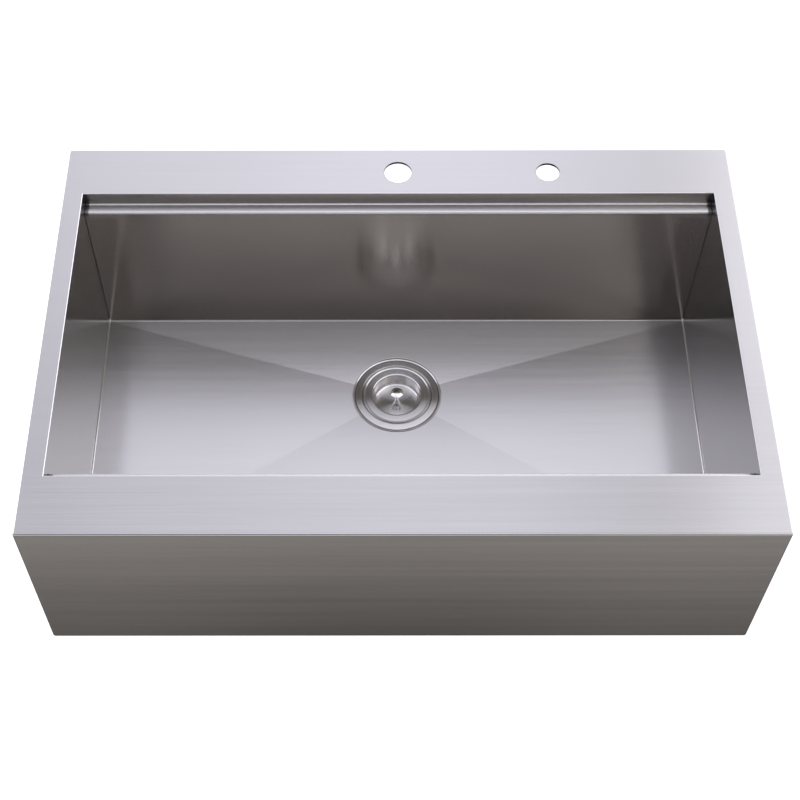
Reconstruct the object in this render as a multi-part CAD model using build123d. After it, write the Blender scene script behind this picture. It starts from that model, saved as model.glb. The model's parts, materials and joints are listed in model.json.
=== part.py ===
from build123d import *
import os

# Farmhouse sink: a folded deck whose front turns down into a plain apron, a welded box bowl
# with two ledges, clip rails and hold-down clips under the rim, and a covered basket strainer.
# Origin: centre of the deck in plan, on the worktop plane that the rim's lip rests on.
# +X is to the right, +Y to the back, +Z up. Millimetres.

# Deck and apron
DECK_WIDTH = 838.0
DECK_DEPTH = 559.0
APRON_BELOW_BOWL = 2.0
APRON_RETURN = 40.0
SHEET = 1.5
RIM_LIP = 3.0
FRONT_RIM = 74.5
REAR_RIM = 74.5
SIDE_RIM = 25.0
DECK_CORNER_R = 4.0
APRON_CORNER_R = 4.0
FOLD_R = 2.0
OPENING_EDGE_R = 1.2

# Tap and dispenser holes with the plate that stiffens them
HOLE_LINE_FROM_REAR = 39.5
FAUCET_X = 0.0
FAUCET_R = 17.5
DISPENSER_X = 189.0
DISPENSER_R = 15.0
BACKING_PLATE = 1.5
BACKING_DEPTH = 52.0
BACKING_END_LAND = 30.0
BACKING_CORNER_R = 6.0

# Bowl
LEDGE_DROP = 20.0
LEDGE_DEPTH = 15.0
BOWL_DEPTH = 243.5
FLOOR_FALL = 5.5
FLOOR_BEND_R = 2.0
LEDGE_BEND_R = 1.5
LEDGE_NOSE_R = 3.0
DRAIN_X = 0.0
DRAIN_FROM_BACK_WALL = 121.0
RECESS_PLAY = 0.6
RECESS_DEPTH = 1.5
RECESS_EDGE_R = 0.8
DRAIN_HOLE_PLAY = 1.5

# Sound pads
PAD = 2.5
PAD_CORNER_R = 10.0
PAD_END_GAP = 60.0
PAD_WALL_GAP = 35.0
PAD_DRAIN_GAP = 110.0
PAD_TOP_GAP = 45.0
PAD_BOTTOM_GAP = 45.0
APRON_PAD_GAP = 55.0

# Clip rails
RAIL_WIDTH = 12.0
RAIL_HEIGHT = 8.0
RAIL_WALL = 1.0
RAIL_FROM_EDGE = 16.0
SIDE_RAIL_FRONT_GAP = 80.0
SIDE_RAIL_REAR_GAP = 45.0
REAR_RAIL_END_GAP = 50.0
REAR_RAIL_PLATE_GAP = 22.0

# Hold-down clips and their screws
CLIP_SHEET = 2.0
CLIP_WIDTH = 16.0
CLIP_PLAY = 0.3
CLIP_HANG = 52.0
CLIP_REACH = 15.0
CLIP_COLLAR_R = 4.5
CLIP_COLLAR_HEIGHT = 3.0
SIDE_CLIP_END_GAP = 92.0
SCREW_R = 2.5
SCREW_LENGTH = 36.0
SCREW_REACH = 10.5
SCREW_TIP_GAP = 16.5
SCREW_HEAD_R = 4.4
SCREW_HEAD_HEIGHT = 3.5
SCREW_SLOT = 1.2
SCREW_SLOT_DEPTH = 1.6
THREAD_FIT = 0.05

# Strainer body and what holds it to the floor
FLANGE_BAND = 12.5
FLANGE_SHEET = 1.0
SEAT_LAND = 3.7
SEAT_DROP = 2.0
BODY_WALL = 1.2
BODY_DEPTH = 46.0
BODY_CORNER_R = 7.0
THROAT_R = 20.5
OUTLET_WALL = 3.3
OUTLET_LENGTH = 20.0
FLANGE_SEAL_GAP = 0.5
GASKET = 3.0
GASKET_WIDTH = 11.0
GASKET_FIT = 0.3
FRICTION_RING = 1.0
LOCKNUT_HEIGHT = 9.0
LOCKNUT_WALL = 6.0
LOCKNUT_LUG = 5.0
LOCKNUT_LUG_WIDTH = 9.0
LOCKNUT_LUGS = 8

# Basket
BASKET_SHEET = 0.8
BASKET_PLAY = 0.5
BASKET_TOP_GAP = 1.5
BASKET_RIM = 3.6
BASKET_RIM_DROP = 3.0
BASKET_TAPER = 4.0
BASKET_SLOTS = 20
BASKET_SLOT_WIDTH = 3.0
BASKET_SLOT_HEIGHT = 16.0
BASKET_HOLES = 16
BASKET_HOLE_R = 2.2
BASKET_HOLE_INSET = 4.2
STOPPER = 5.0
STOPPER_LAP = 5.5
POST_R = 2.5
POST_FOOT_R = 6.0
POST_KNOB_R = 5.5
POST_HEIGHT = 10.0
POST_NUT_R = 4.6
POST_NUT_HEIGHT = 4.0

# Lid with its seal and knob
LID_SHEET = 1.0
LID_R = 44.0
LID_PLAY = 1.5
LID_BRIM = 13.2
CUP_DEPTH = 19.0
CUP_EDGE_R = 1.2
CUP_CORNER_R = 2.0
SEAL_INSET = 0.2
KNOB_R = 8.5
KNOB_HEIGHT = 25.2
KNOB_DOME = 2.2
KNOB_EDGE = 1.2
KNOB_UNDERSIDE = 2.0
KNOB_NECK_R = 2.1
KNOB_FLARE_R = 6.0
KNOB_FLARE_HEIGHT = 11.0
STUD_R = 2.0
STUD_TAIL = 1.0
LID_NUT_R = 4.0
LID_NUT_HEIGHT = 3.2

# Levels and lines that follow from the sizes above
half_w = DECK_WIDTH / 2
half_d = DECK_DEPTH / 2
deck_top = RIM_LIP
deck_under = deck_top - SHEET
bowl_x = half_w - SIDE_RIM
opening_front = FRONT_RIM - half_d
opening_back = half_d - REAR_RIM
ledge_top = deck_top - LEDGE_DROP
wall_front = opening_front + LEDGE_DEPTH
wall_back = opening_back - LEDGE_DEPTH
seam_z = deck_top - BOWL_DEPTH
apex_z = seam_z - FLOOR_FALL
recess_z = apex_z - RECESS_DEPTH
drain_y = wall_back - DRAIN_FROM_BACK_WALL
lid_cup_r = LID_R - LID_BRIM
seat_r = LID_R + LID_PLAY
flange_r = seat_r + FLANGE_BAND
body_bore_r = seat_r - SEAT_LAND
body_r = body_bore_r + BODY_WALL
outlet_r = THROAT_R + OUTLET_WALL
drain_hole_r = body_r + DRAIN_HOLE_PLAY
recess_r = flange_r + RECESS_PLAY
hole_y = half_d - HOLE_LINE_FROM_REAR
flange_top = recess_z + FLANGE_SHEET + SEAT_DROP
seat_z = flange_top - SEAT_DROP
under_floor = recess_z - SHEET
apron_bottom = under_floor - APRON_BELOW_BOWL
body_floor = flange_top - BODY_DEPTH


def slab(x0, x1, y0, y1, z0, z1):
    """Box between two corners."""
    size = Box(x1 - x0, y1 - y0, z1 - z0)
    return Pos((x0 + x1) / 2, (y0 + y1) / 2, (z0 + z1) / 2) * size


def outline(points):
    """Face from (across, up, corner radius) points."""
    line = FilletPolyline([(a, b) for a, b, _ in points], radius=[r for _, _, r in points], close=True)
    return make_face(line)


def turned(points):
    """Solid turned about the drain's vertical axis from (radius, height, corner radius) points."""
    solid = revolve(Plane.XZ * outline(points), Axis.Z)
    return Pos(DRAIN_X, drain_y, 0) * solid


def ring(inner, outer, bottom, top):
    """Flat ring about the drain's axis."""
    return turned([(inner, bottom, 0), (outer, bottom, 0), (outer, top, 0), (inner, top, 0)])


def hexagon_nut(bore, across, bottom, height):
    """Hexagon nut about the drain's axis, its size given over the corners."""
    sketch = RegularPolygon(across, 6) - Circle(bore)
    return Pos(DRAIN_X, drain_y, bottom) * extrude(sketch, height)


def around(count, radius, shape):
    """Copies of a shape set evenly on a circle about the drain's axis."""
    places = [Pos(DRAIN_X, drain_y, 0) * Rot(0, 0, 360 * i / count) * Pos(radius, 0, 0) for i in range(count)]
    return [place * shape for place in places]


# Deck: flat sheet with a turned-down lip on three sides, and the apron with its returns in front


def folded_form(inset, drop, back):
    """Outer form of the folded sheet; an inset by the sheet gives its inner side."""
    x = half_w - inset
    front = inset - half_d
    rim = slab(-x, x, front, half_d - inset, -drop, deck_top - inset)
    apron = slab(-x, x, front, APRON_RETURN - half_d + back, apron_bottom + inset, deck_top - inset)
    form = rim + apron
    rear = form.edges().filter_by(Axis.Z).group_by(Axis.Y)[-1]
    form = fillet(rear, DECK_CORNER_R - inset)
    low = form.edges().filter_by(Axis.Y).group_by(Axis.Z)[0]
    form = fillet(low, APRON_CORNER_R - inset)
    front_face = form.faces().sort_by(Axis.Y)[0]
    top_face = form.faces().sort_by(Axis.Z)[-1]
    folds = {edge: None for edge in front_face.edges() + top_face.edges()}
    return fillet(list(folds), FOLD_R - inset)


def hole_tool(x, radius):
    """Upright cutter for a hole on the tap line."""
    return Pos(x, hole_y, 0) * Cylinder(radius, 2 * (RIM_LIP + BACKING_PLATE + SHEET))


hole_tools = hole_tool(FAUCET_X, FAUCET_R) + hole_tool(DISPENSER_X, DISPENSER_R)

deck = folded_form(0, 0, 0) - folded_form(SHEET, RIM_LIP, APRON_RETURN)
deck -= slab(-bowl_x, bowl_x, opening_front, opening_back, 0, deck_top + SHEET)
opening_edges = deck.faces().sort_by(Axis.Z)[-1].inner_wires()[0].edges()
deck = fillet(opening_edges, OPENING_EDGE_R) - hole_tools

plate_left = FAUCET_X - FAUCET_R - BACKING_END_LAND
plate_right = DISPENSER_X + DISPENSER_R + BACKING_END_LAND
plate = slab(
    plate_left,
    plate_right,
    hole_y - BACKING_DEPTH / 2,
    hole_y + BACKING_DEPTH / 2,
    deck_under - BACKING_PLATE,
    deck_under,
)
hole_backing_plate = fillet(plate.edges().filter_by(Axis.Z), BACKING_CORNER_R) - hole_tools


# Bowl: one folded sheet for front wall, floor and back wall, closed by two flat end walls


def bowl_section(inset, top):
    """Section of the bowl across its length; an inset of minus the sheet gives its outside."""
    step = -inset
    return Plane.YZ * outline([
        (opening_front - step, top, 0),
        (opening_front - step, ledge_top - step, LEDGE_BEND_R + step),
        (wall_front - step, ledge_top - step, LEDGE_NOSE_R - step),
        (wall_front - step, seam_z - step, FLOOR_BEND_R + step),
        (wall_back + step, seam_z - step, FLOOR_BEND_R + step),
        (wall_back + step, ledge_top - step, LEDGE_NOSE_R - step),
        (opening_back + step, ledge_top - step, LEDGE_BEND_R + step),
        (opening_back + step, top, 0),
    ])


def floor_fall(level):
    """Four flat facets that fall from the floor's edges towards the drain."""
    y0 = wall_front + FLOOR_BEND_R
    y1 = wall_back - FLOOR_BEND_R
    corners = [(-bowl_x, y0, level), (bowl_x, y0, level), (bowl_x, y1, level), (-bowl_x, y1, level)]
    apex = (DRAIN_X, drain_y, level - FLOOR_FALL)
    faces = [Face(Wire.make_polygon(corners, close=True))]
    for i in range(4):
        faces.append(Face(Wire.make_polygon([corners[i], corners[(i + 1) % 4], apex], close=True)))
    return Solid(Shell(faces))


def bowl_form(inset, top, recess_edge):
    """Solid form of the bowl with its falling floor and the round recess at the drain."""
    prism = extrude(bowl_section(inset, top), bowl_x, both=True)
    recess = ring(0, recess_edge, recess_z + inset, seam_z + inset)
    return prism + floor_fall(seam_z + inset) + recess


bowl_inside = bowl_form(0, deck_under + SHEET, recess_r)
bowl_outside = bowl_form(-SHEET, deck_under, recess_r + SHEET)
bowl_trough = bowl_outside - bowl_inside
recess_rim = bowl_trough.edges().filter_by(
    lambda e: e.geom_type != GeomType.LINE
    and abs(e.center(CenterOf.BOUNDING_BOX).Y - drain_y) < recess_r
    and all(abs(((v.X - DRAIN_X) ** 2 + (v.Y - drain_y) ** 2) ** 0.5 - recess_r) < 0.01 for v in e.vertices())
    and e.bounding_box().min.Z > recess_z + RECESS_EDGE_R
)
bowl_trough = fillet(recess_rim, RECESS_EDGE_R)
bowl_trough -= ring(0, drain_hole_r, under_floor - SHEET, seam_z)

end_wall = extrude(bowl_section(-SHEET, deck_under), SHEET)
right_end_wall = Pos(bowl_x, 0, 0) * end_wall
left_end_wall = Pos(-bowl_x - SHEET, 0, 0) * end_wall


# Sound pads glued to the outside of the bowl and to the back of the apron


def rounded(box, axis):
    """Pad with rounded corners seen along an axis."""
    return fillet(box.edges().filter_by(axis), PAD_CORNER_R)


def floor_pad(x0, x1):
    """Pad under one side of the falling floor, following its facets."""
    foot = slab(x0, x1, wall_front + PAD_WALL_GAP, wall_back - PAD_WALL_GAP, under_floor - PAD, seam_z)
    skin = rounded(foot, Axis.Z) & (Pos(0, 0, -PAD) * bowl_outside)
    return skin - bowl_outside


pad_top = ledge_top - PAD_TOP_GAP
pad_bottom = seam_z + PAD_BOTTOM_GAP
pad_x = bowl_x - PAD_END_GAP
back_face = wall_back + SHEET
front_face = wall_front - SHEET
end_face = bowl_x + SHEET
apron_back = SHEET - half_d

floor_pad_left = floor_pad(-pad_x, DRAIN_X - PAD_DRAIN_GAP)
floor_pad_right = floor_pad(DRAIN_X + PAD_DRAIN_GAP, pad_x)
back_wall_pad = rounded(slab(-pad_x, pad_x, back_face, back_face + PAD, pad_bottom, pad_top), Axis.Y)
front_wall_pad = rounded(slab(-pad_x, pad_x, front_face - PAD, front_face, pad_bottom, pad_top), Axis.Y)
end_pad = slab(0, PAD, wall_front + PAD_WALL_GAP, wall_back - PAD_WALL_GAP, pad_bottom, pad_top)
right_wall_pad = Pos(end_face, 0, 0) * rounded(end_pad, Axis.X)
left_wall_pad = Pos(-end_face - PAD, 0, 0) * rounded(end_pad, Axis.X)
apron_pad = rounded(
    slab(
        APRON_PAD_GAP - half_w,
        half_w - APRON_PAD_GAP,
        apron_back,
        apron_back + PAD,
        apron_bottom + APRON_PAD_GAP,
        deck_under - APRON_PAD_GAP,
    ),
    Axis.Y,
)


# Clip rails, clips and screws, drawn with the rail along Y and outwards along +X


def rail(y0, y1):
    """Channel with a slot along its underside, hanging from the deck."""
    half = RAIL_WIDTH / 2
    low = deck_under - RAIL_HEIGHT
    hollow = slab(RAIL_WALL - half, half - RAIL_WALL, y0, y1, low + RAIL_WALL, deck_under - RAIL_WALL)
    gap = CLIP_SHEET / 2 + CLIP_PLAY
    slot = slab(-gap, gap, y0, y1, low, deck_under - RAIL_HEIGHT / 2)
    return slab(-half, half, y0, y1, low, deck_under) - hollow - slot


foot_z = deck_under - CLIP_HANG


def clip(y):
    """Sheet clip: head in the rail, web through the slot, foot that reaches outwards."""
    head_half = RAIL_WIDTH / 2 - RAIL_WALL - CLIP_PLAY
    head_low = deck_under - RAIL_HEIGHT + RAIL_WALL + CLIP_PLAY
    y0 = y - CLIP_WIDTH / 2
    y1 = y + CLIP_WIDTH / 2
    head = slab(-head_half, head_half, y0, y1, head_low, head_low + CLIP_SHEET)
    web = slab(-CLIP_SHEET / 2, CLIP_SHEET / 2, y0, y1, foot_z - CLIP_SHEET, head_low + CLIP_SHEET)
    foot = slab(-CLIP_SHEET / 2, CLIP_REACH, y0, y1, foot_z - CLIP_SHEET, foot_z)
    body = head + web + foot
    heel = body.edges().filter_by(Axis.Y).group_by(Axis.Z)[0].sort_by(Axis.X)[0]
    body = fillet(heel, CLIP_SHEET / 2)
    collar_low = foot_z - CLIP_SHEET - CLIP_COLLAR_HEIGHT
    collar = upright(SCREW_REACH, y, CLIP_COLLAR_R, collar_low, foot_z)
    return body + collar - upright(SCREW_REACH, y, SCREW_R + THREAD_FIT, collar_low, foot_z)


def upright(x, y, radius, bottom, top):
    """Upright cylinder."""
    return Pos(x, y, (bottom + top) / 2) * Cylinder(radius, top - bottom)


def clip_screw(y):
    """Screw driven up from below, with a slotted head and a rounded tip."""
    tip = foot_z + SCREW_TIP_GAP
    head_top = tip - SCREW_LENGTH
    head_low = head_top - SCREW_HEAD_HEIGHT
    shank = upright(SCREW_REACH, y, SCREW_R, head_top, tip)
    shank = fillet(shank.edges().group_by(Axis.Z)[-1], SCREW_R / 3)
    head = upright(SCREW_REACH, y, SCREW_HEAD_R, head_low, head_top)
    head = fillet(head.edges().group_by(Axis.Z)[0], SCREW_HEAD_HEIGHT / 3)
    slot_half = SCREW_SLOT / 2
    slot = slab(
        SCREW_REACH - SCREW_HEAD_R,
        SCREW_REACH + SCREW_HEAD_R,
        y - slot_half,
        y + slot_half,
        head_low,
        head_low + SCREW_SLOT_DEPTH,
    )
    return shank + head - slot


right_frame = Pos(half_w - RAIL_FROM_EDGE, 0, 0)
left_frame = Pos(RAIL_FROM_EDGE - half_w, 0, 0) * Rot(0, 0, 180)
rear_frame = Pos(0, half_d - RAIL_FROM_EDGE, 0) * Rot(0, 0, 90)

side_front = SIDE_RAIL_FRONT_GAP - half_d
side_rear = half_d - SIDE_RAIL_REAR_GAP
side_clip_front = side_front + SIDE_CLIP_END_GAP
side_clip_rear = side_rear - SIDE_CLIP_END_GAP
rear_end = half_w - REAR_RAIL_END_GAP
rear_inner_left = plate_left - REAR_RAIL_PLATE_GAP
rear_inner_right = plate_right + REAR_RAIL_PLATE_GAP

# Each rail's frame and its two ends along the frame's own Y
rails = {
    "clip_rail_right": (right_frame, side_front, side_rear),
    "clip_rail_left": (left_frame, -side_rear, -side_front),
    "clip_rail_rear_left": (rear_frame, -rear_inner_left, rear_end),
    "clip_rail_rear_right": (rear_frame, -rear_end, -rear_inner_right),
}

# Each clip's frame and its place along the frame's own Y
clips = {
    "right_front": (right_frame, side_clip_front),
    "right_rear": (right_frame, side_clip_rear),
    "left_front": (left_frame, -side_clip_front),
    "left_rear": (left_frame, -side_clip_rear),
    "rear_left": (rear_frame, (rear_end - rear_inner_left) / 2),
    "rear_right": (rear_frame, (-rear_end - rear_inner_right) / 2),
}


# Strainer body: pressed flange with a seat for the lid, threaded cup and threaded outlet

body_under = body_floor - BODY_WALL
flange_under = flange_top - FLANGE_SHEET
strainer_body = turned([
    (flange_r, recess_z, 0),
    (flange_r, flange_top, FLANGE_SHEET),
    (seat_r, flange_top, FLANGE_SHEET),
    (seat_r, seat_z, 0),
    (body_bore_r, seat_z, FLANGE_SHEET / 2),
    (body_bore_r, body_floor, BODY_CORNER_R),
    (THROAT_R, body_floor, 0),
    (THROAT_R, body_under - OUTLET_LENGTH, 0),
    (outlet_r, body_under - OUTLET_LENGTH, 0),
    (outlet_r, body_under, 0),
    (body_r, body_under, BODY_CORNER_R + BODY_WALL),
    (body_r, recess_z, 0),
    (seat_r + FLANGE_SHEET, recess_z, 0),
    (seat_r + FLANGE_SHEET, flange_under, 0),
    (flange_r - FLANGE_SHEET, flange_under, 0),
    (flange_r - FLANGE_SHEET, recess_z, 0),
])

seal_inner = seat_r + FLANGE_SHEET + FLANGE_SEAL_GAP
seal_outer = flange_r - FLANGE_SHEET - FLANGE_SEAL_GAP
flange_seal = ring(seal_inner, seal_outer, recess_z, flange_under)

gasket_inner = body_r + GASKET_FIT
gasket_low = under_floor - GASKET
ring_low = gasket_low - FRICTION_RING
nut_low = ring_low - LOCKNUT_HEIGHT
lower_gasket = ring(gasket_inner, gasket_inner + GASKET_WIDTH, gasket_low, under_floor)
friction_ring = ring(gasket_inner, gasket_inner + GASKET_WIDTH, ring_low, gasket_low)
nut_ring_r = body_r + THREAD_FIT + LOCKNUT_WALL
lug = slab(-LOCKNUT_WALL / 2, LOCKNUT_LUG, -LOCKNUT_LUG_WIDTH / 2, LOCKNUT_LUG_WIDTH / 2, nut_low, ring_low)
locknut = ring(body_r + LOCKNUT_WALL / 2, nut_ring_r, nut_low, ring_low)
for copy in around(LOCKNUT_LUGS, nut_ring_r, lug):
    locknut += copy
locknut = fillet(locknut.edges().filter_by(Axis.Z), LOCKNUT_WALL / 6)
locknut += ring(body_r + THREAD_FIT, body_r + LOCKNUT_WALL / 2, nut_low, ring_low)


# Basket: perforated cup on a rubber stopper that plugs the throat, with a lifting post

stopper_top = body_floor + STOPPER
basket_floor = stopper_top + BASKET_SHEET
basket_top = seat_z - BASKET_TOP_GAP
rim_r = body_bore_r - BASKET_PLAY
cup_r = rim_r - BASKET_RIM
foot_r = cup_r - BASKET_TAPER
rim_under = basket_top - BASKET_SHEET
basket = turned([
    (POST_R + THREAD_FIT, stopper_top, 0),
    (foot_r, stopper_top, BASKET_SHEET * 4),
    (cup_r, rim_under, BASKET_SHEET / 2),
    (rim_r - BASKET_SHEET, rim_under, 0),
    (rim_r - BASKET_SHEET, basket_top - BASKET_RIM_DROP, 0),
    (rim_r, basket_top - BASKET_RIM_DROP, 0),
    (rim_r, basket_top, BASKET_SHEET),
    (cup_r - BASKET_SHEET, basket_top, BASKET_SHEET),
    (foot_r - BASKET_SHEET, basket_floor, BASKET_SHEET * 3),
    (POST_R + THREAD_FIT, basket_floor, 0),
])
slot_mid = (rim_under - BASKET_RIM_DROP + basket_floor) / 2
slot_face = Plane.YZ * SlotOverall(BASKET_SLOT_HEIGHT, BASKET_SLOT_WIDTH, rotation=90)
slot_cut = Pos(0, 0, slot_mid) * extrude(slot_face, BASKET_TAPER + BASKET_RIM, both=True)
for cut in around(BASKET_SLOTS, (cup_r + foot_r) / 2, slot_cut):
    basket -= cut
hole_cut = upright(0, 0, BASKET_HOLE_R, stopper_top - BASKET_SHEET, basket_floor + BASKET_SHEET)
for cut in around(BASKET_HOLES, foot_r - BASKET_HOLE_INSET, hole_cut):
    basket -= cut

stopper_r = THROAT_R + STOPPER_LAP
basket_stopper = turned([
    (POST_R + THREAD_FIT, body_floor, 0),
    (stopper_r, body_floor, STOPPER / 4),
    (stopper_r, stopper_top, STOPPER / 4),
    (POST_R + THREAD_FIT, stopper_top, 0),
])
post_nut_low = body_floor - POST_NUT_HEIGHT
post_top = basket_floor + POST_HEIGHT
basket_post = turned([
    (0, post_nut_low, 0),
    (POST_R, post_nut_low, 0),
    (POST_R, basket_floor, 0),
    (POST_FOOT_R, basket_floor, 0),
    (POST_FOOT_R, basket_floor + POST_HEIGHT / 8, POST_HEIGHT / 16),
    (POST_R, basket_floor + POST_HEIGHT / 3, POST_HEIGHT / 8),
    (POST_R, post_top - POST_HEIGHT / 3, 0),
    (POST_KNOB_R, post_top - POST_HEIGHT / 3, POST_HEIGHT / 16),
    (POST_KNOB_R, post_top, POST_HEIGHT / 8),
    (0, post_top, 0),
])
basket_nut = hexagon_nut(POST_R + THREAD_FIT, POST_NUT_R, post_nut_low, POST_NUT_HEIGHT)


# Lid: dished cover that lies in the flange's seat on a rubber ring, with a mushroom knob

lid_top = flange_top
lid_under = lid_top - LID_SHEET
cup_floor = lid_top - CUP_DEPTH
cup_under = cup_floor - LID_SHEET
cup_outer = lid_cup_r + LID_SHEET
lid = turned([
    (STUD_R + THREAD_FIT, cup_under, 0),
    (cup_outer, cup_under, CUP_CORNER_R + LID_SHEET),
    (cup_outer, lid_under, 0),
    (LID_R, lid_under, 0),
    (LID_R, lid_top, LID_SHEET / 2),
    (lid_cup_r, lid_top, CUP_EDGE_R),
    (lid_cup_r, cup_floor, CUP_CORNER_R),
    (STUD_R + THREAD_FIT, cup_floor, 0),
])
lid_seal = ring(cup_outer + SEAL_INSET, LID_R - SEAL_INSET, seat_z, lid_under)

nut_under = cup_under - LID_NUT_HEIGHT
cap_top = cup_floor + KNOB_HEIGHT
cap_rim = cap_top - KNOB_DOME
cap_low = cap_rim - KNOB_EDGE
flare_top = cup_floor + KNOB_FLARE_HEIGHT
flare_mid = (
    KNOB_NECK_R + 0.24 * (KNOB_FLARE_R - KNOB_NECK_R),
    cup_floor + 0.3 * KNOB_FLARE_HEIGHT,
)
dome_r = (KNOB_R**2 + KNOB_DOME**2) / (2 * KNOB_DOME)
dome_mid = cap_top - dome_r + (dome_r**2 - KNOB_R**2 / 4) ** 0.5
knob_line = [
    Polyline(
        (0, cap_top),
        (0, nut_under - STUD_TAIL),
        (STUD_R, nut_under - STUD_TAIL),
        (STUD_R, cup_floor),
        (KNOB_FLARE_R, cup_floor),
    ),
    ThreePointArc((KNOB_FLARE_R, cup_floor), flare_mid, (KNOB_NECK_R, flare_top)),
    Polyline(
        (KNOB_NECK_R, flare_top),
        (KNOB_NECK_R, cap_low - KNOB_UNDERSIDE),
        (KNOB_R - KNOB_EDGE / 2, cap_low),
        (KNOB_R, cap_low + KNOB_EDGE / 2),
        (KNOB_R, cap_rim),
    ),
    ThreePointArc((KNOB_R, cap_rim), (KNOB_R / 2, dome_mid), (0, cap_top)),
]
lid_knob = Pos(DRAIN_X, drain_y, 0) * revolve(Plane.XZ * make_face(knob_line), Axis.Z)
lid_nut = hexagon_nut(STUD_R + THREAD_FIT, LID_NUT_R, nut_under, LID_NUT_HEIGHT)


# One STEP file for each piece

pieces = {
    "deck": deck,
    "hole_backing_plate": hole_backing_plate,
    "bowl_trough": bowl_trough,
    "left_end_wall": left_end_wall,
    "right_end_wall": right_end_wall,
    "floor_pad_left": floor_pad_left,
    "floor_pad_right": floor_pad_right,
    "back_wall_pad": back_wall_pad,
    "front_wall_pad": front_wall_pad,
    "left_wall_pad": left_wall_pad,
    "right_wall_pad": right_wall_pad,
    "apron_pad": apron_pad,
    "strainer_body": strainer_body,
    "flange_seal": flange_seal,
    "lower_gasket": lower_gasket,
    "friction_ring": friction_ring,
    "locknut": locknut,
    "basket": basket,
    "basket_stopper": basket_stopper,
    "basket_post": basket_post,
    "basket_nut": basket_nut,
    "lid": lid,
    "lid_seal": lid_seal,
    "lid_knob": lid_knob,
    "lid_nut": lid_nut,
}
for name, (frame, start, end) in rails.items():
    pieces[name] = frame * rail(start, end)
for name, (frame, place) in clips.items():
    pieces["clip_" + name] = frame * clip(place)
    pieces["clip_screw_" + name] = frame * clip_screw(place)

os.makedirs("parts", exist_ok=True)
for name, piece in pieces.items():
    export_step(piece, "parts/" + name + ".step")
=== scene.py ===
"""Looks of the apron-front sink: brushed sheet, sprayed and padded underside, spun strainer."""

import json
import math

import bmesh
import bpy
import numpy as np
from mathutils import Matrix, Vector


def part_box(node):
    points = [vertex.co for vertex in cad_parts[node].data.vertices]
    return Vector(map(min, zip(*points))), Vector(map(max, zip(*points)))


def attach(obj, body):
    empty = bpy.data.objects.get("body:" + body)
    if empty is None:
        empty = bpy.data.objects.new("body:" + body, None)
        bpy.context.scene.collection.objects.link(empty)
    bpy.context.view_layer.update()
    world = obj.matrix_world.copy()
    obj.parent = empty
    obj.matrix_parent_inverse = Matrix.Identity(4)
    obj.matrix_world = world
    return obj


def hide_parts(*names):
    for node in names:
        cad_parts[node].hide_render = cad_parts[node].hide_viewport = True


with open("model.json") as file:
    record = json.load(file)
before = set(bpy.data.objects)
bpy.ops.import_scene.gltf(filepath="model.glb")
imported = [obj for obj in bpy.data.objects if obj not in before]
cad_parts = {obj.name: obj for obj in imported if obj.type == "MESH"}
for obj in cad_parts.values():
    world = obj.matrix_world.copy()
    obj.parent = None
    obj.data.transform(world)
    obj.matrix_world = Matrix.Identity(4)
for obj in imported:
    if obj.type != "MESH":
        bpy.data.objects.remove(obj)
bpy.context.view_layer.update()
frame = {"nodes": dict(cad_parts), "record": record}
nodes = frame["nodes"]


# ---------------------------------------------------------------- places read from the frame

def centre_of(name):
    """Middle of a node's box."""
    low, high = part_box(name)
    return (low + high) / 2


def size_of(name):
    """Edge lengths of a node's box."""
    low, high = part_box(name)
    return high - low


deck_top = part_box("deck")[1].z
apron_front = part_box("deck")[0].y
drain = centre_of("strainer_body")
flange_r = size_of("strainer_body").x / 2

# Inside faces of the bowl's sheet: end wall, seam round the floor, back wall, upright part of a ledge,
# flat of a ledge, and recess round the drain
bowl_sheet = size_of("right_end_wall").x
wall_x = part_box("right_end_wall")[0].x
seam_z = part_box("right_end_wall")[0].z + bowl_sheet
wall_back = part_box("back_wall_pad")[0].y - bowl_sheet
rim_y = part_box("bowl_trough")[1].y - bowl_sheet
ledge_top = next(row["pos_m"][2] for row in frame["record"]["mounts"] if row["name"] == "ledge_back")
recess_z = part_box("bowl_trough")[0].z + bowl_sheet


# ---------------------------------------------------------------- shader values

class Value:
    """A shader socket that plain arithmetic works on: each operation adds one Math node."""

    def __init__(self, shader, socket):
        self.shader = shader
        self.socket = socket

    def math(self, operation, *others):
        """One Math node with this value first."""
        return self.shader.node("Math", {"operation": operation}, dict(enumerate((self, *others))))

    def output(self, name):
        """Another output of the same node."""
        return Value(self.shader, self.socket.node.outputs[name])

    def split(self):
        """The three parts of a vector."""
        parts = self.shader.node("SeparateXYZ", {}, {0: self})
        return parts, parts.output(1), parts.output(2)

    def step(self, start, end):
        """0 below start and 1 above end, with a smooth rise between."""
        settings = {"interpolation_type": "SMOOTHSTEP"}
        return self.shader.node("MapRange", settings, {"Value": self, "From Min": start, "From Max": end})

    def band(self, low, full, full_end, end):
        """1 from full to full_end, and fading to 0 at low and at end."""
        return self.step(low, full) * self.step(end, full_end)

    def __add__(self, other):
        return self.math("ADD", other)

    def __mul__(self, other):
        return self.math("MULTIPLY", other)

    def __sub__(self, other):
        return self.math("SUBTRACT", other)

    def __truediv__(self, other):
        return self.math("DIVIDE", other)

    def __pow__(self, other):
        return self.math("POWER", other)

    def __rsub__(self, other):
        return self.shader.node("Math", {"operation": "SUBTRACT"}, {0: other, 1: self})

    def __abs__(self):
        return self.math("ABSOLUTE")

    __radd__ = __add__
    __rmul__ = __mul__


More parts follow.
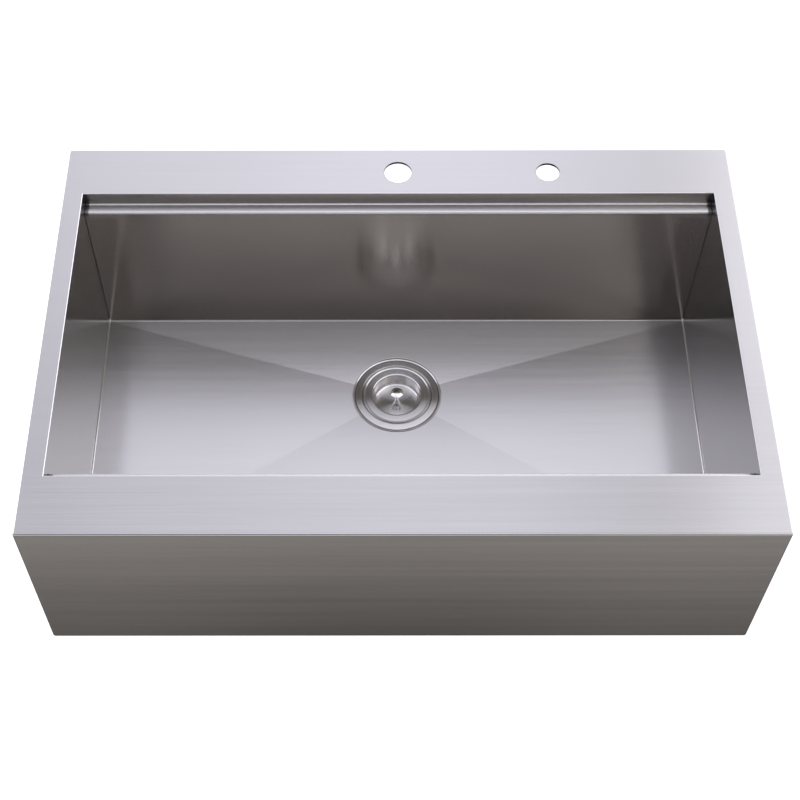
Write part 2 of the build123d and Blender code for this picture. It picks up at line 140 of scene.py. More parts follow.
class Shader:
    """The nodes of one material or of the world."""

    def __init__(self, owner):
        owner.use_nodes = True
        self.owner = owner
        self.tree = owner.node_tree
        self.tree.nodes.clear()

    def node(self, kind, settings, inputs, output=0):
        """One node: its settings first, then the values or links of its sockets."""
        made = self.tree.nodes.new("ShaderNode" + kind)
        for name, setting in settings.items():
            if name == "stops":
                self.set_stops(made.color_ramp, setting)
            else:
                setattr(made, name, setting)
        for name, value in inputs.items():
            if isinstance(value, Value):
                self.tree.links.new(value.socket, made.inputs[name])
            else:
                made.inputs[name].default_value = value
        return Value(self, made.outputs[output])

    def set_stops(self, ramp, stops):
        """Places and colours of a ramp's stops; a new ramp has two."""
        for place, tone in stops[2:]:
            ramp.elements.new(place)
        for element, (place, tone) in zip(ramp.elements, stops):
            element.position = place
            element.color = tone

    def place(self):
        """Where a point is on the object."""
        return self.node("TexCoord", {}, {}, "Object")

    def scaled(self, vector, scale):
        """A vector times a fixed vector."""
        return self.node("VectorMath", {"operation": "MULTIPLY"}, {0: vector, 1: scale})

    def joined(self, x, y, z):
        """A vector from three values."""
        return self.node("CombineXYZ", {}, {0: x, 1: y, 2: z})

    def noise(self, vector, scale=1.0, detail=2.0, rough=0.5, bend=0.0):
        """Soft noise from 0 to 1."""
        inputs = {"Vector": vector, "Scale": scale, "Detail": detail, "Roughness": rough, "Distortion": bend}
        return self.node("TexNoise", {}, inputs)

    def mixed(self, share, first, second):
        """The first colour where share is 0, the second where it is 1."""
        return self.node("Mix", {"data_type": "RGBA"}, {0: share, 6: first, 7: second}, 2)

    def shaded(self, tone, amount):
        """A colour made lighter or darker by a value about 1."""
        vector = tone if isinstance(tone, Value) else tone[:3]
        return self.node("VectorMath", {"operation": "SCALE"}, {0: vector, "Scale": amount})

    def bumped(self, height, distance, strength=1.0, base=None):
        """Normal of a surface with that relief."""
        inputs = {"Height": height, "Distance": distance, "Strength": strength}
        if base is not None:
            inputs["Normal"] = base
        return self.node("Bump", {}, inputs)

    def surface(self, **sockets):
        """Principled shader on the material's output; underscores in socket names stand for spaces."""
        inputs = {name.replace("_", " "): value for name, value in sockets.items()}
        self.finish(self.node("BsdfPrincipled", {}, inputs))

    def finish(self, shader, kind="OutputMaterial"):
        """Link a shader to the output."""
        self.tree.links.new(shader.socket, self.tree.nodes.new("ShaderNode" + kind).inputs["Surface"])


def colour(red, green, blue):
    """Colour with its alpha, for a socket."""
    return (red, green, blue, 1.0)


def new_shader(name):
    """Empty material with its nodes."""
    return Shader(bpy.data.materials.new(name))


# ---------------------------------------------------------------- finishes

X, Y, Z = 0, 1, 2

STEEL = colour(0.615, 0.607, 0.607)
# Darker, warmer copy of STEEL on the bowl's walls: painted shade
WALL_SHADE_STEEL = colour(0.505, 0.475, 0.438)
# Darker copy of STEEL on the end walls: painted shade
END_SHADE_STEEL = colour(0.402, 0.392, 0.390)
# Grey copy of STEEL on the deck's front fold: painted shade
FOLD_SHADE_STEEL = colour(0.50, 0.49, 0.48)
# Near-white copy of STEEL on the rounded edges, the ledge's nose and its bend: painted highlight
HIGHLIGHT_STEEL = colour(0.93, 0.91, 0.92)
# Dark tone at the ledge ends: ground weld, darkened further as painted shade
GROUND_AND_SHADE_STEEL = colour(0.20, 0.19, 0.20)
# Near-black tone in the tap bores: painted shade
BORE_SHADE = colour(0.10, 0.10, 0.11)
# Painted highlight on the ground corner along the floor
SEAM_HIGHLIGHT = colour(0.90, 0.89, 0.90)
# Painted shade on the ground corner where it is upright
SEAM_SHADE = colour(0.06, 0.055, 0.055)
COAT = colour(0.30, 0.30, 0.31)
SPUN_TONE = colour(0.710, 0.695, 0.695)
POLISHED_TONE = colour(0.80, 0.79, 0.80)
BLUE_ZINC = colour(0.62, 0.64, 0.68)
STRAW_ZINC = colour(0.70, 0.68, 0.60)
CAST_TONE = colour(0.46, 0.46, 0.47)
PAD_TONE = colour(0.05, 0.05, 0.0525)
SEAL_TONE = colour(0.035, 0.035, 0.03675)
DARK_FIBRE = colour(0.30, 0.12, 0.07)
PALE_FIBRE = colour(0.55, 0.28, 0.18)
STRAW_HEAT = colour(0.58, 0.50, 0.40)
BLUE_HEAT = colour(0.42, 0.44, 0.52)

DECK_ROUGH = 0.13
WALL_ROUGH = 0.15
FLOOR_ROUGH = 0.22
LEDGE_ROUGH = 0.22
NOSE_ROUGH = 0.30
END_ROUGH = 0.11
RAIL_ROUGH = 0.20
COAT_ROUGH = 0.85

# Brushing: changes per metre across it and along it
FINE_LINES = (900.0, 6.0)
BROAD_STREAKS = (120.0, 1.6)

# Depth of the brushing's grooves, and the coat's relief as a multiple of it
GROOVE_DEPTH = 0.00002
COAT_RELIEF = 14.0

# Shares: how much the apron's streaks darken, how much painted shade darkens the bowl's walls near the folds
# and ends and the foot of the flange's bead, and how much smoother a ledge is than the walls
APRON_STREAKS = 0.18
WALL_SHADE_SHARE = 0.24
FOOT_SHADE_SHARE = 0.75
LEDGE_SMOOTH = 0.8

# Lean of the light: slope of the floor's dish, and curve of a ledge's crown per metre
FLOOR_DISH = 0.035
LEDGE_CROWN = 6.0

# Folded floor: its fall to the recess, and the inner radius of its bend
FLOOR_FALL = 0.0055
FLOOR_BEND_R = 0.002

# Sheen spread across the brushing or the turning, and how far off its rings are centred
SHEEN = {"Anisotropic": 0.9, "Anisotropic_Rotation": 0.25}
FAR_OFF = 1000.0

# Soft edges of the marks on the deck, a painted highlight on the lip and painted shade on the fold and bores:
# where each starts and where it is full, and for a band also where it starts to fade and where it ends
FOLD_Y = (apron_front + 0.0032, apron_front + 0.0026)
FOLD_Z = (deck_top - 0.0034, deck_top - 0.0026)
LIP_Y = (apron_front + 0.0032, apron_front + 0.0038)
LIP_X = (wall_x - 0.006, wall_x - 0.014)
LIP_Z = (deck_top - 0.0018, deck_top - 0.0014, deck_top - 0.0001, deck_top - 0.00002)
APRON_Y = (apron_front + 0.0010, apron_front + 0.0004)
BORE_PAST = (0.0005, 0.0001)

# Soft edges of the marks on the bowl, in the same way; nose and bend get painted highlight, walls painted
# shade
FLOOR_Z = (seam_z + 0.002, seam_z)
LEDGE_Z = (ledge_top - 0.0006, ledge_top - 0.0001)
LEDGE_FLAT_Z = (ledge_top + 0.0006, ledge_top + 0.0002)
NOSE_Z = (ledge_top - 0.0021, ledge_top - 0.0015)
BEND_Y = (rim_y - 0.0018, rim_y - 0.0013)
BEND_Z = (ledge_top + 0.0020, ledge_top + 0.0014)
WALL_Z = (ledge_top - 0.007, ledge_top - 0.013)
LOW_WALL_SHADE_Z = (seam_z + 0.0755, seam_z + 0.0055)
WALL_END_SHADE_X = (wall_x - 0.049, wall_x - 0.032)
GROUND_AND_SHADE_X = (wall_x - 0.0048, wall_x - 0.0022)
GROUND_AND_SHADE_Z = (ledge_top - 0.009, ledge_top - 0.007)
UPPER_HALF_Z = (-0.13, -0.11)
CROWN_Y = rim_y - 0.001
SPRAY_Z = (ledge_top - 0.003, ledge_top - 0.017)
SPRAY_GAP = (0.0004, 0.0010)

# The same for the painted shade in the foot of the flange's bead
FOOT_SHADE_R = (flange_r - 0.0031, flange_r - 0.0026, flange_r - 0.0020, flange_r - 0.0015)


def squared_reach(x, y, axis):
    """Square of the distance from an upright axis."""
    across, deep = x - axis.x, y - axis.y
    return across * across + deep * deep


def spray_fade(shader, z):
    """Spray from none under the rim to full below it, with an uneven edge."""
    edge = shader.noise(shader.place(), scale=70.0, detail=4.0)
    return (z + edge * 0.014).step(*SPRAY_Z)


def spray_grain(shader):
    """Grains of the sprayed coat, and its colour."""
    grains = shader.noise(shader.place(), scale=520.0, detail=3.0, rough=0.6)
    return grains, shader.shaded(COAT, 0.85 + grains * 0.3)


def sprayed_coat(shader):
    """How much of the bowl's outside is under sound-damping spray, which thins out below the rim.

    The folded floor falls from its edge by FLOOR_FALL times the least of the shares left to the four walls.
    """
    x, y, z = shader.place().split()
    half = wall_back - FLOOR_BEND_R
    to_side = (wall_x - abs(x)) / wall_x
    to_back = (half - y) / (half - drain.y)
    to_front = (y + half) / (half + drain.y)
    share = to_side.math("MINIMUM", to_back).math("MINIMUM", to_front).math("MAXIMUM", 0.0)
    recess = squared_reach(x, y, drain).step((flange_r + 0.0019) ** 2, (flange_r + 0.0009) ** 2)
    floor = (seam_z - share * FLOOR_FALL) * (1.0 - recess) + recess * recess_z
    under = (floor - z).step(*SPRAY_GAP)
    outside = (abs(x) - wall_x).step(*SPRAY_GAP)
    behind = (abs(y) - wall_back).step(*SPRAY_GAP)
    return under.math("MAXIMUM", outside).math("MAXIMUM", behind) * spray_fade(shader, z)


def brushing(shader, along):
    """Fine lines of the brushing along one axis, and the broader streaks in it."""
    found = []
    for across_scale, along_scale in (FINE_LINES, BROAD_STREAKS):
        scale = [across_scale] * 3
        scale[along] = along_scale
        found.append(shader.noise(shader.scaled(shader.place(), scale), detail=3.0, rough=0.6))
    return found


def brushed_steel(shader, tone, rough, lines, streaks, relief=None, lean=None, coat=None):
    """Stainless sheet that spreads light across its brushing, under spray where coat is 1."""
    clouds = shader.noise(shader.place(), scale=5.0, detail=2.0)
    worn = 1.0 + (lines - 0.5) * 0.07 + (streaks - 0.5) * 0.05 + (clouds - 0.5) * 0.05
    base = shader.shaded(tone, worn)
    matt = rough + (lines - 0.5) * 0.04 + (streaks - 0.5) * 0.03
    if relief is None:
        relief = lines
    metal = 1.0
    if coat is not None:
        grains, sprayed = spray_grain(shader)
        metal = 1.0 - coat
        base = shader.mixed(coat, base, sprayed)
        matt = matt * metal + coat * COAT_ROUGH
        relief = relief * metal + grains * coat * COAT_RELIEF
    normal = shader.bumped(relief, GROOVE_DEPTH, base=lean)
    shader.surface(Base_Color=base, Metallic=metal, Roughness=matt, Normal=normal, **SHEEN)
    return shader.owner


def deck_steel():
    """Deck and apron: painted highlight on the rounded edges round the opening, painted shade on the front
    fold and in the bores, streaked apron.
    """
    shader = new_shader("brushed_deck")
    lines, streaks = brushing(shader, X)
    x, y, z = shader.place().split()
    # Painted highlight on the rounded edge round the opening
    lip_highlight = z.band(*LIP_Z) * y.step(*LIP_Y) * x.step(*LIP_X)
    # Painted shade on the front fold
    fold = y.step(*FOLD_Y) * z.step(*FOLD_Z)
    apron = y.step(*APRON_Y)
    tone = shader.mixed(lip_highlight, STEEL, HIGHLIGHT_STEEL)
    tone = shader.mixed(fold, tone, FOLD_SHADE_STEEL)
    tone = shader.shaded(tone, 1.0 + apron * (streaks - 0.5) * APRON_STREAKS)
    # Painted shade in each tap bore and on a thin ring round its rim
    for bore in [row for row in frame["record"]["mounts"] if row["kind"] == "bore"]:
        reach = squared_reach(x, y, Vector(bore["pos_m"]))
        outer, inner = [(bore["dims"]["r_mm"] / 1000 + past) ** 2 for past in BORE_PAST]
        tone = shader.mixed(reach.step(outer, inner), tone, BORE_SHADE)
    return brushed_steel(shader, tone, DECK_ROUGH, lines, streaks)


def bowl_steel():
    """Folded trough: matt floor and ledges, painted highlight on the bends, painted shade on the walls and
    more on the low walls and wall ends, ground wall ends with painted shade, spray outside.

    Its light leans as on dished sheet: the floor rises by FLOOR_DISH * y, and a ledge falls by
    LEDGE_CROWN * d^2 at the distance d in front of CROWN_Y.
    """
    shader = new_shader("brushed_bowl")
    lines, streaks = brushing(shader, X)
    x, y, z = shader.place().split()
    floor = z.step(*FLOOR_Z)
    ledge = z.step(*LEDGE_Z)
    nose = z.step(*NOSE_Z) * (1.0 - ledge)
    bend = abs(y).step(*BEND_Y) * z.step(*BEND_Z)
    rough = WALL_ROUGH + floor * (FLOOR_ROUGH - WALL_ROUGH)
    rough = rough + ledge * (LEDGE_ROUGH - WALL_ROUGH) + nose * (NOSE_ROUGH - WALL_ROUGH)
    # Walls take the darker, warmer copy of the steel as painted shade; the flat of a ledge keeps STEEL
    tone = shader.mixed(ledge * z.step(*LEDGE_FLAT_Z), WALL_SHADE_STEEL, STEEL)
    # Painted highlight on the ledge's nose and on the bend where its upright part meets its flat
    tone = shader.mixed(nose.math("MAXIMUM", bend), tone, HIGHLIGHT_STEEL)
    wall = (1.0 - floor) * z.step(*WALL_Z)
    # Painted shade: the walls darker near the floor fold and towards their ends
    wall_shade = z.step(*LOW_WALL_SHADE_Z).math("MAXIMUM", abs(x).step(*WALL_END_SHADE_X)) * wall
    tone = shader.mixed(floor, shader.shaded(tone, 1.0 - wall_shade * WALL_SHADE_SHARE), STEEL)
    # Ledge ends by the end walls: a ground weld, darkened further as painted shade
    ragged = shader.noise(shader.place(), scale=220.0, detail=2.0) * 0.003 + abs(x)
    tone = shader.mixed(ragged.step(*GROUND_AND_SHADE_X) * z.step(*GROUND_AND_SHADE_Z), tone, GROUND_AND_SHADE_STEEL)
    upper = z.step(*UPPER_HALF_Z)
    out = (CROWN_Y - abs(y)).math("MAXIMUM", 0.0)
    dish = y * FLOOR_DISH * (1.0 - upper) - out * out * LEDGE_CROWN * upper
    lean = shader.bumped(dish, 1.0, floor + ledge)
    relief = lines * (1.0 - ledge * LEDGE_SMOOTH)
    return brushed_steel(shader, tone, rough, lines, streaks, relief, lean, sprayed_coat(shader))


def end_steel():
    """End walls, brushed from front to back, in a darker copy of the steel as painted shade, with the spray
    outside.
    """
    shader = new_shader("brushed_ends")
    return brushed_steel(shader, END_SHADE_STEEL, END_ROUGH, *brushing(shader, Y), coat=sprayed_coat(shader))


def rail_steel():
    """Rails that run from front to back."""
    shader = new_shader("brushed_rails")
    return brushed_steel(shader, STEEL, RAIL_ROUGH, *brushing(shader, Y))


def lay_grain(name, along):
    """Make a node's brushing run straight along X or Y.

    The sheen runs in rings about the middle of the mesh's texture space, so that middle is put far off to
    the side.
    """
    mesh = nodes[name].data
    middle = [0.0, 0.0, 0.0]
    middle[1 - along] = FAR_OFF
    mesh.use_auto_texspace = False
    mesh.texspace_location = middle
    mesh.texspace_size = (1.0, 1.0, 1.0)


def spun_steel():
    """Stainless turned about the drain's axis: rings of fine lines, painted shade in the foot of the flange's
    bead.
    """
    shader = new_shader("spun_steel")
    x, y, z = shader.place().split()
    radius = squared_reach(x, y, drain) ** 0.5
    rings = shader.joined((x - drain.x) * 8.0, (y - drain.y) * 8.0, (radius + z) * 1900.0)
    lines = shader.noise(rings, detail=3.0, rough=0.6)
    # Painted shade in the foot of the flange's bead
    tone = (1.0 + (lines - 0.5) * 0.16) * (1.0 - radius.band(*FOOT_SHADE_R) * FOOT_SHADE_SHARE)
    shader.surface(
        Base_Color=shader.shaded(SPUN_TONE, tone),
        Metallic=1.0,
        Roughness=0.23 + (lines - 0.5) * 0.10,
        Normal=shader.bumped(lines, 0.00008, 0.5),
        **SHEEN,
    )
    return shader.owner


def polished_steel():
    """Polished stainless with faint turning marks."""
    shader = new_shader("polished_steel")
    marks = shader.noise(shader.scaled(shader.place(), (300.0, 300.0, 1500.0)), detail=2.0)
    shader.surface(
        Base_Color=shader.shaded(POLISHED_TONE, 1.0 + (marks - 0.5) * 0.05),
        Metallic=1.0,
        Roughness=0.07 + marks * 0.05,
        Normal=shader.bumped(marks, 0.00001, 0.4),
    )
    return shader.owner


def plated_zinc():
    """Bright zinc plate with a faint straw and blue cast."""
    shader = new_shader("plated_zinc")
    place = shader.place()
    patches = shader.noise(place, scale=160.0, detail=3.0)
    grains = shader.noise(place, scale=1400.0, detail=2.0)
    shader.surface(
        Base_Color=shader.mixed(patches, BLUE_ZINC, STRAW_ZINC),
        Metallic=1.0,
        Roughness=0.26 + patches * 0.16,
        Normal=shader.bumped(grains, 0.00004, 0.5),
    )
    return shader.owner


def cast_zinc():
    """Grey zinc alloy as it comes from the mould."""
    shader = new_shader("cast_zinc")
    place = shader.place()
    patches = shader.noise(place, scale=120.0, detail=3.0)
    grains = shader.noise(place, scale=900.0, detail=3.0)
    shader.surface(
        Base_Color=shader.shaded(CAST_TONE, 0.85 + patches * 0.3),
        Metallic=1.0,
        Roughness=0.42 + grains * 0.16,
        Normal=shader.bumped(grains, 0.00012, 0.6),
    )
    return shader.owner


def rubber(name, tone, grain):
    """Black rubber with a fine skin."""
    shader = new_shader(name)
    place = shader.place()
    skin = shader.noise(place, scale=grain, detail=3.0, rough=0.6)
    dust = shader.noise(place, scale=14.0, detail=4.0)
    shader.surface(
        Base_Color=shader.shaded(tone, 0.75 + dust * 0.5),
        Roughness=0.62 + skin * 0.2,
        Normal=shader.bumped(skin, 0.0002, 0.5),
    )
    return shader.owner


def pressed_fibre():
    """Red-brown fibre sheet with short strands."""
    shader = new_shader("pressed_fibre")
    strands = shader.noise(shader.scaled(shader.place(), (900.0, 250.0, 900.0)), detail=4.0, bend=1.5)
    shader.surface(
        Base_Color=shader.mixed(strands, DARK_FIBRE, PALE_FIBRE),
        Roughness=0.75,
        Normal=shader.bumped(strands, 0.0001, 0.5),
    )
    return shader.owner


def weld_metal():
    """Weld bead, bare with heat tint under the rim and sprayed over below."""
    shader = new_shader("weld_metal")
    x, y, z = shader.place().split()
    coat = spray_fade(shader, z)
    grains, sprayed = spray_grain(shader)
    tint = shader.noise(shader.place(), scale=60.0, detail=3.0).step(0.35, 0.65)
    shader.surface(
        Base_Color=shader.mixed(coat, shader.mixed(tint, STRAW_HEAT, BLUE_HEAT), sprayed),
        Metallic=1.0 - coat,
        Roughness=0.40 + coat * 0.45,
        Normal=shader.bumped(grains, 0.0003, 0.8),
    )
    return shader.owner


def ground_steel_painted_light():
    """Ground corners inside the end walls: painted highlight along the floor, painted shade where upright,
    and smoother there.
    """
    shader = new_shader("ground_steel_painted_light")
    marks = shader.noise(shader.scaled(shader.place(), (1500.0, 300.0, 300.0)), detail=2.0)
    x, y, z = shader.place().split()
    upright = z.step(seam_z + 0.003, seam_z + 0.006)
    # Painted highlight along the floor, painted shade where the corner is upright
    tone = shader.mixed(upright, SEAM_HIGHLIGHT, SEAM_SHADE)
    shader.surface(
        Base_Color=shader.shaded(tone, 1.0 + (marks - 0.5) * 0.06),
        Metallic=1.0,
        Roughness=0.12 + marks * 0.06 + (1.0 - upright) * 0.09,
        Normal=shader.bumped(marks, 0.00001, 0.4),
    )
    return shader.owner


deck_finish = deck_steel()
bowl_finish = bowl_steel()
end_finish = end_steel()
rail_finish = rail_steel()
spun = spun_steel()
polished = polished_steel()
zinc = plated_zinc()
cast = cast_zinc()
pad_rubber = rubber("pad_rubber", PAD_TONE, 700.0)
seal_rubber = rubber("seal_rubber", SEAL_TONE, 1500.0)
fibre = pressed_fibre()
weld = weld_metal()
ground = ground_steel_painted_light()

by_slot = {
    "sheet_steel": deck_finish,
    "sound_pad": pad_rubber,
    "rail_steel": deck_finish,
    "zinc_plate": zinc,
    "strainer_steel": spun,
    "polished_steel": polished,
    "seal_rubber": seal_rubber,
    "fibre": fibre,
    "cast_zinc": cast,
}
own_finish = {
    "bowl_trough": bowl_finish,
    "left_end_wall": end_finish,
    "right_end_wall": end_finish,
    "clip_rail_left": rail_finish,
    "clip_rail_right": rail_finish,
}
for name in ("deck", "bowl_trough", "hole_backing_plate"):
    lay_grain(name, X)
for name in ("left_end_wall", "right_end_wall", "clip_rail_left", "clip_rail_right"):
    lay_grain(name, Y)
for row in frame["record"]["subparts"]:
    name = row["node"]
    nodes[name].data.materials.clear()
    nodes[name].data.materials.append(own_finish.get(name, by_slot[row["material_slot"]]))


# ---------------------------------------------------------------- surfaces

FULL_TURN = 2 * math.pi
QUARTER_TURN = math.pi / 2
LEAST_CORNER = 0.0005
MERGE_REACH = 1e-7
SHARP_ANGLE = math.radians(32.0)


def soft_line(corners, steps=6):
    """Line through corners (a, b, radius), as an array of points.

    A corner is swapped for the curve (1-t)^2 P0 + 2t(1-t) P + t^2 P1, where P is the corner, and P0 and P1
    lie on its two sides at the distance radius / tan(half the angle between them).
    """
    corners = np.array(corners, dtype=float)
    place, radius = corners[:, :2], corners[:, 2, None]
    back = np.roll(place, 1, axis=0) - place
    ahead = np.roll(place, -1, axis=0) - place
    back /= np.linalg.norm(back, axis=1, keepdims=True) + 1e-12
    ahead /= np.linalg.norm(ahead, axis=1, keepdims=True) + 1e-12
    half = np.arccos(np.clip((back * ahead).sum(axis=1, keepdims=True), -1.0, 1.0)) / 2
    trim = radius / np.maximum(np.tan(half), 1e-6)
    t = np.linspace(0.0, 1.0, steps)[None, :, None]
    first = (place + back * trim)[:, None]
    last = (place + ahead * trim)[:, None]
    line = (1 - t) ** 2 * first + 2 * t * (1 - t) * place[:, None] + t**2 * last
    return line.reshape(-1, 2)


def even_line(line, spacing):
    """The same line with points at even spacing, and each point's distance along it."""
    run = np.concatenate([[0.0], np.cumsum(np.linalg.norm(np.diff(line, axis=0), axis=1))])
    stops = np.linspace(0.0, run[-1], int(run[-1] / spacing) + 2)
    return np.stack([np.interp(stops, run, line[:, 0]), np.interp(stops, run, line[:, 1])], axis=1), stops


def upright_line(radius, start, end, count):
    """Straight upright part of a turned line, in even steps."""
    return np.stack([np.full(count, radius), np.linspace(start, end, count)], axis=1)


def turned(line, centre, sides=128, thread=None):
    """Points (radius, height) of a line carried round an upright axis.

    A thread (depth, pitch, low, high) lowers the radius by depth * w, where w falls and rises in straight
    flanks with height / pitch - turn, and fades out within one pitch of low and high.
    """
    turn = np.linspace(0.0, FULL_TURN, sides, endpoint=False)[None, :]
    radius, height = line[:, :1], line[:, 1:]
    radius = radius + 0 * turn
    if thread is not None:
        depth, pitch, low, high = thread
        wave = (height / pitch - turn / FULL_TURN) % 1.0
        flank = np.clip(2.4 * np.abs(wave - 0.5) * 2 - 0.7, 0.0, 1.0)
        fade = np.clip((height - low) / pitch, 0, 1) * np.clip((high - height) / pitch, 0, 1)
        radius = radius - depth * flank * fade
    x = centre[0] + radius * np.cos(turn)
    y = centre[1] + radius * np.sin(turn)
    return np.stack([x, y, height + 0 * turn], axis=2)


def carried(line, section, x, side):
    """A closed section carried along a line (y, z) that stands at x.

    Each point is line(s) + section_b * normal(s), shifted along X by side * section_a; the normal is the
    line's direction turned a quarter.
    """
    along = np.gradient(line, axis=0)
    along /= np.linalg.norm(along, axis=1, keepdims=True) + 1e-12
    normal = np.stack([-along[:, 1], along[:, 0]], axis=1)
    if section.ndim == 2:
        section = section[None]
    a, b = section[..., 0], section[..., 1]
    y = line[:, :1] + b * normal[:, :1]
    z = line[:, 1:] + b * normal[:, 1:]
    return np.stack([x + side * a + 0 * y, y, z], axis=2)


def rounded_outline(half_a, half_b, corner, count=8):
    """Rounded rectangle about the middle, corner by corner, as an array of points."""
    turn = np.linspace(0.0, QUARTER_TURN, count)
    quarters = np.arange(4)[:, None] * QUARTER_TURN
    angle = (quarters + turn[None, :]).ravel()
    sign_a = np.repeat([1, -1, -1, 1], count)
    sign_b = np.repeat([1, 1, -1, -1], count)
    a = sign_a * (half_a - corner) + corner * np.cos(angle)
    b = sign_b * (half_b - corner) + corner * np.sin(angle)
    return np.stack([a, b], axis=1)


def moulded(half_a, half_b, corner, levels):
    """Rounded rectangles stacked through levels: outline drawn in by inset, raised by height."""
    flat = np.stack([
        rounded_outline(half_a - inset, half_b - inset, max(corner - inset, LEAST_CORNER))
        for inset, height in levels
    ])
    height = np.array([level[1] for level in levels])[:, None] + 0 * flat[..., 0]
    return np.concatenate([flat, height[..., None]], axis=2)


def piece(name, shells, finish, body):
    """One object from grids of points, each closed round its second direction.

    Each shell is (points, rows closed, ends capped); each face joins a point to its neighbours in the next
    row and column.
    """
    spots, faces, start = [], [], 0
    for points, rows_closed, capped in shells:
        rows, columns = points.shape[:2]
        index = start + np.arange(rows * columns).reshape(rows, columns)
        start += rows * columns
        index = np.concatenate([index, index[:, :1]], axis=1)
        if rows_closed:
            index = np.concatenate([index, index[:1]], axis=0)
        quads = np.stack([index[:-1, :-1], index[:-1, 1:], index[1:, 1:], index[1:, :-1]], axis=2)
        faces += quads.reshape(-1, 4).tolist()
        if capped:
            faces += [index[0, :-1].tolist(), index[-1, :-1].tolist()]
        spots.append(points.reshape(-1, 3))
    mesh = bpy.data.meshes.new(name)
    mesh.from_pydata(np.concatenate(spots).tolist(), [], faces)
    closing = bmesh.new()
    closing.from_mesh(mesh)
    bmesh.ops.remove_doubles(closing, verts=closing.verts, dist=MERGE_REACH)
    bmesh.ops.recalc_face_normals(closing, faces=closing.faces)
    closing.to_mesh(mesh)
    closing.free()
    mesh.shade_smooth()
    mesh.set_sharp_from_angle(angle=SHARP_ANGLE)
    mesh.materials.append(finish)
    made = bpy.data.objects.new(name, mesh)
    bpy.context.scene.collection.objects.link(made)
    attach(made, body)
    return made


# ---------------------------------------------------------------- strainer and lid

flange_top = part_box("strainer_body")[1].z
outlet_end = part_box("strainer_body")[0].z
seal_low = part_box("flange_seal")[0].z
lid_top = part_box("lid")[1].z
lid_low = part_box("lid")[0].z
lid_r = size_of("lid").x / 2

SHEET = 0.001
BODY_WALL = 0.0012
LID_PLAY = 0.0015
SEAT_LAND = 0.0037
SEAT_DROP = 0.002
THROAT_R = 0.0205
OUTLET_WALL = 0.0033
OUTLET_LENGTH = 0.020
NECK_START = 0.0125
seat_r = lid_r + LID_PLAY
seat_z = flange_top - SEAT_DROP
bore_r = seat_r - SEAT_LAND
body_r = bore_r + BODY_WALL
body_low = outlet_end + OUTLET_LENGTH
neck_low = body_low + NECK_START
outlet_r = THROAT_R + OUTLET_WALL
CUP_R = 0.0308
STUD_HOLE_R = 0.0022

# Bead round the rim of the flange and of the lid: width of its top, then width and depth down to its foot
BEAD_TOP = 0.0005
FLANGE_BEAD = (0.0023, 0.0008)
LID_BEAD = (0.0017, 0.0005)

# Threads, each as depth and pitch
OUTLET_THREAD = (0.0009, 0.0022)
NECK_THREAD = (0.0008, 0.0025)
STUD_THREAD = (0.0003, 0.0008)
SCREW_THREAD = (0.0005, 0.0010)


def strainer_shell():
    """Flange with a bead round its rim, seat, cup with its thread, and threaded outlet."""
    inner = [
        (flange_r, seal_low, 0.0),
        (flange_r, flange_top, 0.0002),
        (flange_r - BEAD_TOP, flange_top, 0.0002),
        (flange_r - FLANGE_BEAD[0], flange_top - FLANGE_BEAD[1], 0.0009),
        (seat_r + 0.0014, flange_top - 0.0002, 0.0008),
        (seat_r, seat_z, 0.0004),
        (bore_r, seat_z, 0.0006),
        (bore_r, body_low + BODY_WALL, 0.007),
        (THROAT_R, body_low + BODY_WALL, 0.0006),
        (THROAT_R, outlet_end, 0.0),
    ]
    outer = [
        (outlet_r, body_low, 0.0),
        (body_r, body_low, 0.008),
        (body_r, neck_low - 0.0005, 0.0),
    ]
    under = [
        (body_r, seal_low, 0.0),
        (seat_r + SHEET, seal_low, 0.0),
        (seat_r + SHEET, flange_top - SHEET, 0.0),
        (flange_r - SHEET, flange_top - SHEET, 0.0),
        (flange_r - SHEET, seal_low, 0.0),
    ]
    outlet = upright_line(outlet_r, outlet_end, body_low, 80)
    neck = upright_line(body_r, neck_low, seal_low - 0.0005, 110)
    cup = np.concatenate([soft_line(inner)[5:], outlet, soft_line(outer)[5:-5]])
    grid = np.concatenate([
        turned(cup, drain, thread=(*OUTLET_THREAD, outlet_end, body_low)),
        turned(neck, drain, thread=(*NECK_THREAD, neck_low, seal_low - 0.004)),
        turned(soft_line(under), drain),
    ])
    made = piece("strainer_shell", [(grid, True, False)], spun, "sink")
    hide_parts("strainer_body")


def lid_cover():
    """Dished cover: beaded brim, straight-sided cup and flat floor round the stud."""
    line = [
        (STUD_HOLE_R, lid_low, 0.0),
        (CUP_R + SHEET, lid_low, 0.0028),
        (CUP_R + SHEET, lid_top - SHEET, 0.0004),
        (lid_r, lid_top - SHEET, 0.0),
        (lid_r, lid_top, 0.0002),
        (lid_r - BEAD_TOP, lid_top, 0.0002),
        (lid_r - LID_BEAD[0], lid_top - LID_BEAD[1], 0.0007),
        (CUP_R + 0.0006, lid_top, 0.0024),
        (CUP_R, lid_low + SHEET, 0.0038),
        (STUD_HOLE_R, lid_low + SHEET + 0.0008, 0.0),
    ]
    made = piece("lid_cover", [(turned(soft_line(line), drain), True, False)], spun, "lid")
    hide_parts("lid")


